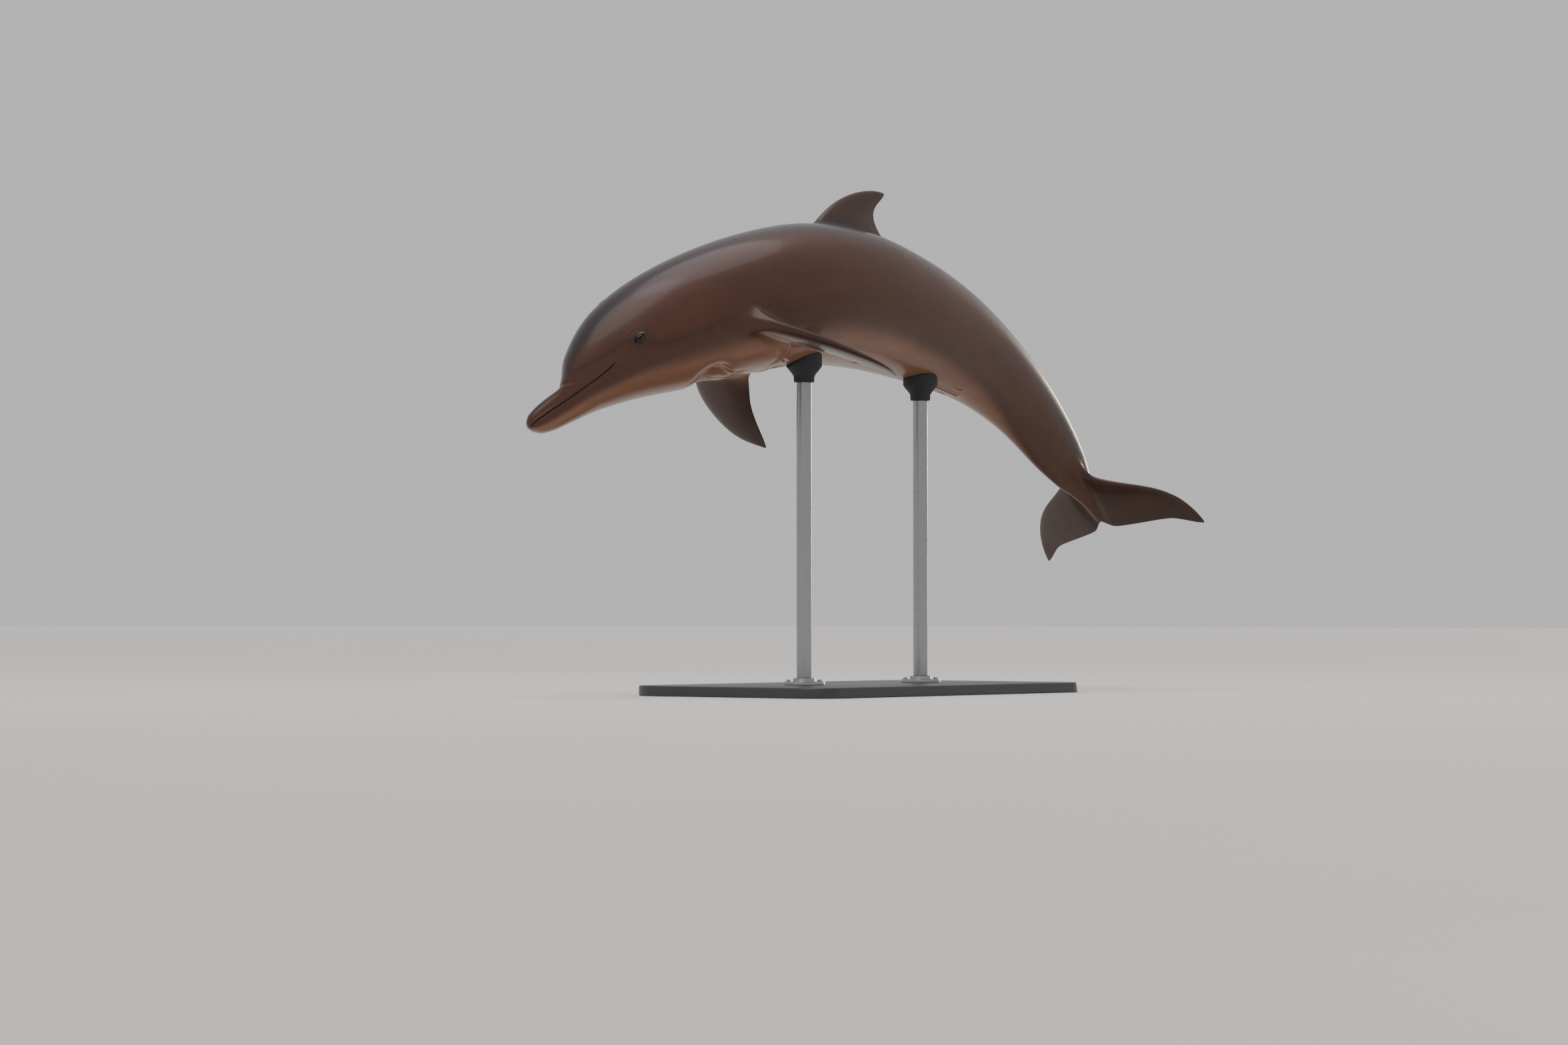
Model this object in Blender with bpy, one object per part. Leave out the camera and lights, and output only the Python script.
"""Bottlenose dolphin, life size, arched as in a leap and held up by a plain display stand.

The animal is drawn straight first: x runs back from the snout, y to the animal's left and z
towards its back.  bend() then lays those points along the curved spine.  The head looks
towards -X, the left side faces -Y, and the stand's underside is the floor, z = 0.
"""
import math

import bmesh
import bpy
import numpy as np
from mathutils import Matrix, Vector

# ---- the animal's size, in metres -------------------------------------------------------
LENGTH = 2.60           # snout to the notch of the flukes, along the spine
GAP = 0.0003            # left between neighbouring pieces
SIDES = 32              # corners of one ring round the body
SNOUT_HEIGHT = 0.747    # snout above the floor

# ---- the pose: turning of the spine in radians per body length --------------------------
HEAD_YAW, HEAD_PITCH, HEAD_ROLL = -39.5, 39.5, 14.5
ARCH_AT = (0, 0.20, 0.32, 0.45, 0.58, 0.70, 0.82, 0.92, 1)
ARCH = (0.11, 1.30, 1.35, 1.62, 1.33, 2.11, 2.46, 1.57, 0.55)
TURN_AT = (0, 0.18, 0.30, 0.50, 0.75, 1)
TURN = (0, 2.46, 2.29, 0.15, -0.14, -0.62)
TWIST_AT = (0, 0.78, 1)
TWIST = (-0.53, -0.53, 0.90)
SPINE_STEPS = 400

# ---- the body's sections: share of the length, then back, belly and half width in mm -----
SECTIONS = (
    (0.008, 13, 19, 21), (0.011, 20, 30, 28), (0.016, 26, 41, 34), (0.030, 31, 56, 41),
    (0.045, 30, 64, 48), (0.056, 28, 71, 57), (0.066, 45, 76, 69), (0.080, 83, 85, 86),
    (0.100, 117, 101, 106), (0.130, 151, 126, 131), (0.160, 167, 153, 149),
    (0.200, 177, 181, 166), (0.250, 183, 199, 183), (0.320, 191, 209, 198),
    (0.400, 202, 210, 203), (0.480, 200, 204, 198), (0.560, 183, 194, 180),
    (0.640, 167, 178, 150), (0.720, 145, 152, 115), (0.800, 124, 134, 80),
    (0.870, 104, 121, 52), (0.920, 80, 87, 35), (0.955, 55, 55, 27), (0.985, 32, 26, 20),
)
# the section's squareness: 2 is an ellipse, more is boxy, less is keeled
SQUARE_AT = (0, 0.05, 0.12, 0.50, 0.70, 0.87, 1)
SQUARE = (2.3, 2.4, 2.2, 2.2, 2.1, 1.85, 1.8)

# ---- where the body is parted, as shares of the length -----------------------------------
PARTINGS = (0.185, 0.245, 0.335, 0.425, 0.565, 0.695, 0.815, 0.925)
BODY_PIECES = ("neck", "chest", "trunk_front", "trunk_middle", "trunk_rear",
               "tail_stock_front", "tail_stock_rear", "fluke_root")
SNOUT_AT, TAIL_END_AT = SECTIONS[0][0], SECTIONS[-1][0]

# ---- the head ----------------------------------------------------------------------------
MOUTH_LINE = ((-0.05, -0.004), (0.024, -0.007), (0.144, -0.019), (0.200, -0.025),
              (0.240, -0.029), (0.285, -0.026), (0.308, -0.020))
JAW_HINGE = (0.322, -0.060)
MELON_EDGE = 0.154      # x where the rostrum meets the melon
EYE_X, EYE_Z = 0.380, -0.006
EYE_RADIUS = 0.0175
EYE_SUNK = 0.0105       # eyeball's centre below the skin

# ---- the dorsal fin: share of the length and height above the back for each rib -----------
DORSAL_LEAD = ((0.416, -0.060), (0.438, 0.010), (0.461, 0.066), (0.481, 0.108),
               (0.505, 0.149), (0.526, 0.177), (0.541, 0.191), (0.551, 0.196))
DORSAL_TRAIL = ((0.580, -0.060), (0.562, 0.008), (0.543, 0.051), (0.536, 0.081),
                (0.535, 0.110), (0.539, 0.138), (0.547, 0.165), (0.5535, 0.189))
DORSAL_THICK = (0.062, 0.046, 0.036, 0.030, 0.025, 0.019, 0.012, 0.006)

# ---- the flippers: ribs along the span, edges ahead (+) of the middle line ------------------
FLIPPER_SPAN = 0.42
FLIPPER_RIBS = (-0.14, 0, 0.25, 0.50, 0.75, 0.93, 1)
FLIPPER_LEAD = (0.080, 0.083, 0.090, 0.072, 0.035, -0.015, -0.058)
FLIPPER_TRAIL = (-0.082, -0.077, -0.066, -0.055, -0.061, -0.069, -0.071)
FLIPPER_THICK = (0.052, 0.046, 0.034, 0.024, 0.015, 0.008, 0.005)
FLIPPER_ROOT = (0.727, 0.140, -0.133)
# degrees swept back, lowered and twisted about the span
FLIPPER_SET = {"flipper_left": (1, 52, 77, 63), "flipper_right": (-1, 26, 32, 40)}

# ---- the flukes: share of the length and distance from the middle for each rib --------------
FLUKE_LEAD = ((0.915, 0), (0.936, 0.060), (0.953, 0.136), (0.965, 0.197), (0.980, 0.253),
              (0.999, 0.292), (1.019, 0.317), (1.038, 0.330))
FLUKE_TRAIL = ((1.003, 0), (1.009, 0.040), (1.013, 0.105), (1.017, 0.177), (1.021, 0.236),
               (1.029, 0.272), (1.036, 0.301), (1.041, 0.323))
FLUKE_THICK = (0.042, 0.034, 0.028, 0.022, 0.017, 0.012, 0.009, 0.005)
FLUKE_LIFT, FLUKE_REACH = 0.055, 0.33   # tips bend this far towards the back at this reach

# ---- the stand ---------------------------------------------------------------------------
BASE_SIZE = (1.30, 0.72, 0.030)
BASE_CORNER = 0.09
ROD_RADIUS = 0.022
ROD_AT = {"front": 0.365, "rear": 0.610}
FOOT_RADIUS, FOOT_HEIGHT = 0.060, 0.020
CUP_RADIUS, CUP_NECK, CUP_HEIGHT = 0.052, 0.030, 0.060
ROUND = 20              # sides of the stand's round pieces


def clear_scene():
    for thing in list(bpy.data.objects):
        bpy.data.objects.remove(thing, do_unlink=True)


def smooth(places, values, at):
    """A cubic through the values that never overshoots them."""
    xs, ys = np.array(places, float), np.array(values, float)
    at = np.clip(np.asarray(at, float), xs[0], xs[-1])
    step = np.diff(xs)
    rise = np.diff(ys) / step
    slope = np.zeros(len(xs))
    slope[0], slope[-1] = rise[0], rise[-1]
    for i in range(1, len(xs) - 1):
        if rise[i - 1] * rise[i] > 0:
            a, b = 2 * step[i] + step[i - 1], step[i] + 2 * step[i - 1]
            slope[i] = (a + b) / (a / rise[i - 1] + b / rise[i])
    k = np.clip(np.searchsorted(xs, at, side="right") - 1, 0, len(xs) - 2)
    t = (at - xs[k]) / step[k]
    start = ys[k] * (1 + 2 * t) * (1 - t) ** 2 + slope[k] * step[k] * t * (1 - t) ** 2
    end = ys[k + 1] * t * t * (3 - 2 * t) + slope[k + 1] * step[k] * t * t * (t - 1)
    return start + end


def make_spine():
    """Steps from the snout to the tail, turning the three directions of the body as it goes."""
    at = np.linspace(0, 1, SPINE_STEPS + 1)
    arch = smooth(ARCH_AT, ARCH, at) / SPINE_STEPS
    turn = smooth(TURN_AT, TURN, at) / SPINE_STEPS
    twist = smooth(TWIST_AT, TWIST, at) / SPINE_STEPS
    yaw, pitch, roll = np.radians((HEAD_YAW, HEAD_PITCH, HEAD_ROLL))
    back = np.array((math.cos(yaw) * math.cos(pitch), math.sin(yaw) * math.cos(pitch),
                     math.sin(pitch)))
    up = np.array((-math.cos(yaw) * math.sin(pitch), -math.sin(yaw) * math.sin(pitch),
                   math.cos(pitch)))
    left = np.cross(back, up)
    up, left = (math.cos(roll) * up - math.sin(roll) * left,
                math.cos(roll) * left + math.sin(roll) * up)
    place = np.array((0, 0, SNOUT_HEIGHT))
    rows = []
    for i in range(SPINE_STEPS + 1):
        rows.append((place, back, left, up))
        before = back
        back = back - arch[i] * up - turn[i] * left
        back = back / np.linalg.norm(back)
        up = up + arch[i] * before - twist[i] * left
        up = up - back * up.dot(back)
        up = up / np.linalg.norm(up)
        left = np.cross(back, up)
        place = place + (before + back) / 2 * LENGTH / SPINE_STEPS
    return [np.array(column) for column in zip(*rows)]


SPINE = make_spine()


def frame_at(x):
    """The spine's place and its back, left and up directions at x."""
    step = np.clip(np.asarray(x, float) / LENGTH, 0, 1) * SPINE_STEPS
    known = np.arange(SPINE_STEPS + 1)
    return [np.stack([np.interp(step, known, part[:, k]) for k in range(3)], -1)
            for part in SPINE]


def bend(points):
    """Straight points to their places on the posed animal."""
    points = np.asarray(points, float)
    place, back, left, up = frame_at(points[:, 0])
    beyond = points[:, 0] - np.clip(points[:, 0], 0, LENGTH)
    return (place + back * beyond[:, None] + left * points[:, 1:2] + up * points[:, 2:3])


def section(at):
    """Back, belly and half width in metres, and squareness, at a share of the length."""
    shares = [row[0] for row in SECTIONS]
    sizes = [smooth(shares, [row[k] for row in SECTIONS], at) / 1000 for k in (1, 2, 3)]
    return (*sizes, smooth(SQUARE_AT, SQUARE, at))


def body_ring(at, grow=0.0):
    """One closed ring round the body, as straight points."""
    high, low, wide, square = section(at)
    points = []
    for i in range(SIDES):
        angle = math.tau * i / SIDES
        c, s = math.cos(angle), math.sin(angle)
        y = (wide + grow) * math.copysign(abs(c) ** (2 / square), c)
        z = ((high if s > 0 else low) + grow) * math.copysign(abs(s) ** (2 / square), s)
        points.append((at * LENGTH, y, z))
    return points


def ring_places():
    """Shares of the length that carry a ring: close where the head's outline turns."""
    places = set(PARTINGS)
    for start, end, count in ((SNOUT_AT, 0.016, 4), (0.016, 0.052, 4), (0.052, 0.084, 9),
                              (0.084, 0.185, 7), (0.185, 0.245, 3), (0.245, 0.335, 4),
                              (0.335, 0.425, 4), (0.425, 0.565, 7), (0.565, 0.695, 6),
                              (0.695, 0.815, 6), (0.815, 0.925, 6), (0.925, 0.985, 4)):
        places.update(round(float(p), 5) for p in np.linspace(start, end, count + 1))
    return sorted(places)


RINGS = ring_places()


def loft(rows):
    """Faces of a closed body through equal rings of points, with a face on each end."""
    count, per = len(rows), len(rows[0])
    points = [p for row in rows for p in row]
    faces = [tuple(range(per))[::-1], tuple(range((count - 1) * per, count * per))]
    for r in range(count - 1):
        for i in range(per):
            j = (i + 1) % per
            faces.append((r * per + i, r * per + j, (r + 1) * per + j, (r + 1) * per + i))
    return points, faces


def material(name, colour, roughness, metallic=0.0):
    made = bpy.data.materials.new(name)
    made.use_nodes = True
    shader = made.node_tree.nodes["Principled BSDF"]
    shader.inputs["Base Color"].default_value = (*colour, 1)
    shader.inputs["Roughness"].default_value = roughness
    shader.inputs["Metallic"].default_value = metallic
    return made


def solid(name, points, faces, look, posed=False, turning=30):
    """A named closed mesh with its faces pointing out."""
    mesh = bpy.data.meshes.new(name)
    places = points if posed else bend(points)
    mesh.from_pydata([tuple(p) for p in places], [], faces)
    work = bmesh.new()
    work.from_mesh(mesh)
    bmesh.ops.remove_doubles(work, verts=work.verts, dist=1e-6)
    bmesh.ops.recalc_face_normals(work, faces=work.faces)
    work.to_mesh(mesh)
    work.free()
    mesh.shade_smooth()
    mesh.set_sharp_from_angle(angle=math.radians(turning))
    thing = bpy.data.objects.new(name, mesh)
    bpy.context.collection.objects.link(thing)
    if look is None:
        thing.hide_render = True
        thing.display_type = "WIRE"
    else:
        mesh.materials.append(look)
    return thing


def cut(thing, tool, operation="DIFFERENCE"):
    change = thing.modifiers.new("cut", "BOOLEAN")
    change.operation = operation
    change.object = tool
    return thing


def body_length(name, start, end, look, grow=0.0):
    """The stretch of body between two shares of the length; a cutter is grown all round."""
    inner = [p for p in RINGS if start + 1e-6 < p < end - 1e-6]
    margin = GAP / 2 / LENGTH
    first = start if start == SNOUT_AT else start + margin
    last = end if end == TAIL_END_AT else end - margin
    if grow:
        first, last = start - grow / LENGTH, end + grow / LENGTH
    rows = [body_ring(p, grow) for p in (first, *inner, last)]
    return solid(name, *loft(rows), look)


def prism(name, outline, half_width, step=0.02):
    """A cutter: an outline in the x-z plane drawn out across the body, in short steps."""
    fine = []
    for (x0, z0), (x1, z1) in zip(outline, (*outline[1:], outline[0])):
        parts = max(1, round(math.hypot(x1 - x0, z1 - z0) / step))
        fine += [(x0 + (x1 - x0) * k / parts, z0 + (z1 - z0) * k / parts) for k in range(parts)]
    sides = np.linspace(-half_width, half_width, 13)
    rows = [[(x, side, z) for x, z in fine] for side in sides]
    return solid(name, *loft(rows), None)


def surface_y(x, z):
    """Half width of the skin at x and height z."""
    high, low, wide, square = section(x / LENGTH)
    share = abs(z) / (high if z > 0 else low)
    return float(wide * (1 - share ** square) ** (1 / square))


def eye_centre(side):
    """A point sunk below the skin, straight in from it."""
    step = 0.004
    y = surface_y(EYE_X, EYE_Z)
    along = Vector((2 * step, surface_y(EYE_X + step, EYE_Z) - surface_y(EYE_X - step, EYE_Z), 0))
    upward = Vector((0, surface_y(EYE_X, EYE_Z + step) - surface_y(EYE_X, EYE_Z - step), 2 * step))
    outward = upward.cross(along).normalized()
    if outward.y < 0:
        outward.negate()
    centre = Vector((EYE_X, y, EYE_Z)) - outward * EYE_SUNK
    return Vector(bend([(centre.x, side * centre.y, centre.z)])[0])


def ball(name, centre, radius, look):
    work = bmesh.new()
    bmesh.ops.create_uvsphere(work, u_segments=14, v_segments=8, radius=radius,
                              matrix=Matrix.Translation(centre))
    mesh = bpy.data.meshes.new(name)
    work.to_mesh(mesh)
    work.free()
    points = [v.co.copy() for v in mesh.vertices]
    faces = [tuple(f.vertices) for f in mesh.polygons]
    return solid(name, points, faces, look, posed=True, turning=60)


def make_head(skin, eye_look):
    """Rostrum, lower jaw, head and eyes, parted by the mouth line and the melon's edge."""
    def jaw_outline(grow):
        line = [(x + (grow if i == len(MOUTH_LINE) - 1 else 0), z + grow)
                for i, (x, z) in enumerate(MOUTH_LINE)]
        hinge = (JAW_HINGE[0] + grow, JAW_HINGE[1])
        return [*line, hinge, (hinge[0] + 0.02, -0.30), (-0.05, -0.30)]

    jaw_space = prism("cutter_jaw", jaw_outline(0), 0.30)
    jaw_room = prism("cutter_jaw_room", jaw_outline(GAP), 0.30)
    front = [(-0.05, -0.20), (MELON_EDGE, -0.20), (MELON_EDGE, 0.20), (-0.05, 0.20)]
    front_space = prism("cutter_rostrum", front, 0.32)
    front_grown = [(x + (GAP if x > 0 else 0), z) for x, z in front]
    front_room = prism("cutter_rostrum_room", front_grown, 0.32)

    jaw = body_length("lower_jaw", SNOUT_AT, PARTINGS[0], skin)
    cut(jaw, jaw_space, "INTERSECT")
    rostrum = body_length("rostrum", SNOUT_AT, PARTINGS[0], skin)
    cut(rostrum, jaw_room)
    cut(rostrum, front_space, "INTERSECT")
    head = body_length("head", SNOUT_AT, PARTINGS[0], skin)
    cut(head, jaw_room)
    cut(head, front_room)
    for side, name in ((1, "left"), (-1, "right")):
        centre = eye_centre(side)
        cut(head, ball("cutter_socket_" + name, centre, EYE_RADIUS + GAP, None))
        ball("eye_" + name, centre, EYE_RADIUS, eye_look)


def blade(name, leads, trails, thicks, normals, inside, look):
    """A fin lofted through ribs from its leading to its trailing edge, rounded in front.

    Each rib is a streamlined section; its thickness lies along the rib's normal."""
    edge = 0.0024
    shares = [0.5 - 0.5 * math.cos(math.pi * k / 9) for k in range(10)]
    shares = [s ** 1.25 for s in shares]
    swell = [5 * (0.2969 * math.sqrt(s) - 0.1260 * s - 0.3516 * s ** 2 + 0.2843 * s ** 3
                  - 0.1015 * s ** 4) for s in shares]
    rows = []
    for lead, trail, thick, normal in zip(leads, trails, thicks, normals):
        lead, trail, normal = Vector(lead), Vector(trail), Vector(normal)
        half = [max(w * thick, edge / 2) if k else 0 for k, w in enumerate(swell)]
        upper = [lead.lerp(trail, s) + normal * h for s, h in zip(shares, half)]
        lower = [lead.lerp(trail, s) - normal * h for s, h in zip(shares, half)]
        rows.append(upper + lower[:0:-1])
    points, faces = loft(rows)
    fin = solid(name, points, faces, look, posed=True, turning=50)
    return cut(fin, inside)


def refine(values, count):
    """More ribs between the given ones, on a smooth curve."""
    known = np.linspace(0, 1, len(values))
    wanted = np.linspace(0, 1, count)
    values = np.array(values, float)
    if values.ndim == 1:
        return smooth(known, values, wanted)
    return np.stack([smooth(known, values[:, k], wanted) for k in range(values.shape[1])], -1)


def make_dorsal_fin(inside, look):
    ribs = 12
    lead, trail = refine(DORSAL_LEAD, ribs), refine(DORSAL_TRAIL, ribs)

    def on_back(rows):
        return [(at * LENGTH, 0, float(section(at)[0]) + height) for at, height in rows]

    normals = frame_at(np.array([(a + b) / 2 * LENGTH for a, b in zip(lead[:, 0], trail[:, 0])]))[2]
    blade("dorsal_fin", bend(on_back(lead)), bend(on_back(trail)), refine(DORSAL_THICK, ribs),
          normals, inside, look)


def make_flipper(name, inside, look):
    """A flipper keeps its own shape: it is set on the body's frame at its root."""
    side, swept, lowered, twisted = FLIPPER_SET[name]
    swept, lowered, twisted = np.radians((swept, lowered, twisted))
    x, y, z = FLIPPER_ROOT
    place, back, left, up = frame_at(x)
    out = left * side
    root = place + out * y + up * z
    lean = math.cos(lowered) * out - math.sin(lowered) * up
    span = math.cos(swept) * lean + math.sin(swept) * back
    ahead = math.sin(swept) * lean - math.cos(swept) * back
    face = math.sin(lowered) * out + math.cos(lowered) * up
    ahead, face = (math.cos(twisted) * ahead + math.sin(twisted) * face,
                   math.cos(twisted) * face - math.sin(twisted) * ahead)
    along = np.linspace(FLIPPER_RIBS[0], 1, 12)
    lead = smooth(FLIPPER_RIBS, FLIPPER_LEAD, along)
    trail = smooth(FLIPPER_RIBS, FLIPPER_TRAIL, along)
    thick = smooth(FLIPPER_RIBS, FLIPPER_THICK, along)
    stations = [root + FLIPPER_SPAN * u * span for u in along]
    blade(name, [s + a * ahead for s, a in zip(stations, lead)],
          [s + b * ahead for s, b in zip(stations, trail)], thick, [face] * len(along),
          inside, look)


def make_fluke(name, side, inside, look):
    """Half of the tail flukes, from the middle line out to its tip."""
    ribs = 12
    lead, trail = refine(FLUKE_LEAD, ribs), refine(FLUKE_TRAIL, ribs)

    def lifted(rows):
        return [(at * LENGTH, side * (y + GAP / 2), FLUKE_LIFT * (y / FLUKE_REACH) ** 1.5)
                for at, y in rows]

    middles = [((a[0] + b[0]) / 2 * LENGTH, (a[1] + b[1]) / 2) for a, b in zip(lead, trail)]
    normals = []
    for x, y in middles:
        slope = 1.5 * FLUKE_LIFT / FLUKE_REACH * math.sqrt(y / FLUKE_REACH)
        _, _, left, up = frame_at(x)
        normal = up - left * side * slope
        normals.append(normal / np.linalg.norm(normal))
    normals[0] = frame_at(middles[0][0])[3]
    blade(name, bend(lifted(lead)), bend(lifted(trail)), refine(FLUKE_THICK, ribs), normals,
          inside, look)


def turned(name, levels, centre, look):
    """An upright round piece from its heights and radii."""
    rows = [[(centre[0] + r * math.cos(math.tau * i / ROUND),
              centre[1] + r * math.sin(math.tau * i / ROUND), z) for i in range(ROUND)]
            for z, r in levels]
    return solid(name, *loft(rows), look, posed=True)


def make_base(centre, look):
    """A flat plate with round corners, its long side along the body."""
    length, width, height = BASE_SIZE
    corner_steps = 6
    outline = []
    for cx, cy, start in ((1, 1, 0), (-1, 1, 90), (-1, -1, 180), (1, -1, 270)):
        for k in range(corner_steps + 1):
            angle = math.radians(start + 90 * k / corner_steps)
            outline.append((cx * (length / 2 - BASE_CORNER) + BASE_CORNER * math.cos(angle),
                            cy * (width / 2 - BASE_CORNER) + BASE_CORNER * math.sin(angle)))
    rim = 0.004
    rows = []
    for z, inset in ((0, rim), (rim, 0), (height - rim, 0), (height, rim)):
        ring = []
        for x, y in outline:
            ring.append((centre[0] + x * (1 - 2 * inset / length),
                         centre[1] + y * (1 - 2 * inset / width), z))
        rows.append(ring)
    solid("stand_base", *loft(rows), look, posed=True)


def make_stand(inside, paint, steel, pad):
    """Base, two upright rods in round feet, and a cup on each rod that fits the belly."""
    spots = {}
    for name, at in ROD_AT.items():
        belly = float(section(at)[1])
        spots[name] = bend([(at * LENGTH, 0, -belly)])[0]
    make_base((spots["front"] + spots["rear"]) / 2, paint)
    top = BASE_SIZE[2] + GAP
    for name, spot in spots.items():
        foot_top = top + FOOT_HEIGHT
        cup_low, cup_high = spot[2] - CUP_HEIGHT, spot[2] + 0.12
        foot = [(top, FOOT_RADIUS), (foot_top - 0.012, FOOT_RADIUS),
                (foot_top - 0.009, FOOT_RADIUS - 0.003), (foot_top - 0.007, ROD_RADIUS + 0.014),
                (foot_top, ROD_RADIUS + 0.010)]
        turned("stand_foot_" + name, foot, spot, steel)
        rod = [(foot_top + GAP, ROD_RADIUS), (cup_low - GAP, ROD_RADIUS)]
        turned("stand_rod_" + name, rod, spot, steel)
        cup = [(cup_low, CUP_NECK), (cup_low + 0.020, CUP_NECK + 0.002),
               (cup_low + 0.046, CUP_RADIUS), (cup_high, CUP_RADIUS)]
        cut(turned("stand_cup_" + name, cup, spot, pad), inside)


def settle():
    """Puts the middle of the whole box over the origin."""
    bpy.context.view_layer.update()
    graph = bpy.context.evaluated_depsgraph_get()
    corners = []
    for thing in bpy.data.objects:
        if thing.type == "MESH" and not thing.hide_render:
            shown = thing.evaluated_get(graph)
            corners += [shown.matrix_world @ v.co for v in shown.data.vertices]
    low = [min(c[k] for c in corners) for k in range(2)]
    high = [max(c[k] for c in corners) for k in range(2)]
    shift = Vector((-(low[0] + high[0]) / 2, -(low[1] + high[1]) / 2, 0))
    for thing in bpy.data.objects:
        thing.location += shift
    print("snout at", [round(v, 4) for v in shift + Vector((0, 0, SNOUT_HEIGHT))])


def main():
    clear_scene()
    skin = material("dolphin_skin", (0.13, 0.15, 0.17), 0.28)
    fin_skin = material("fin_skin", (0.09, 0.105, 0.12), 0.28)
    eye_look = material("eye_dark", (0.02, 0.014, 0.01), 0.06)
    paint = material("stand_paint", (0.035, 0.037, 0.04), 0.5)
    steel = material("stand_steel", (0.55, 0.56, 0.57), 0.3, 1.0)
    pad = material("stand_pad", (0.02, 0.02, 0.022), 0.7)
    inside = body_length("cutter_body", SNOUT_AT, TAIL_END_AT, None, grow=GAP)
    make_head(skin, eye_look)
    for name, start, end in zip(BODY_PIECES, PARTINGS, (*PARTINGS[1:], TAIL_END_AT)):
        body_length(name, start, end, skin)
    make_dorsal_fin(inside, fin_skin)
    for name in FLIPPER_SET:
        make_flipper(name, inside, fin_skin)
    make_fluke("fluke_left", 1, inside, fin_skin)
    make_fluke("fluke_right", -1, inside, fin_skin)
    make_stand(inside, paint, steel, pad)
    settle()


main()
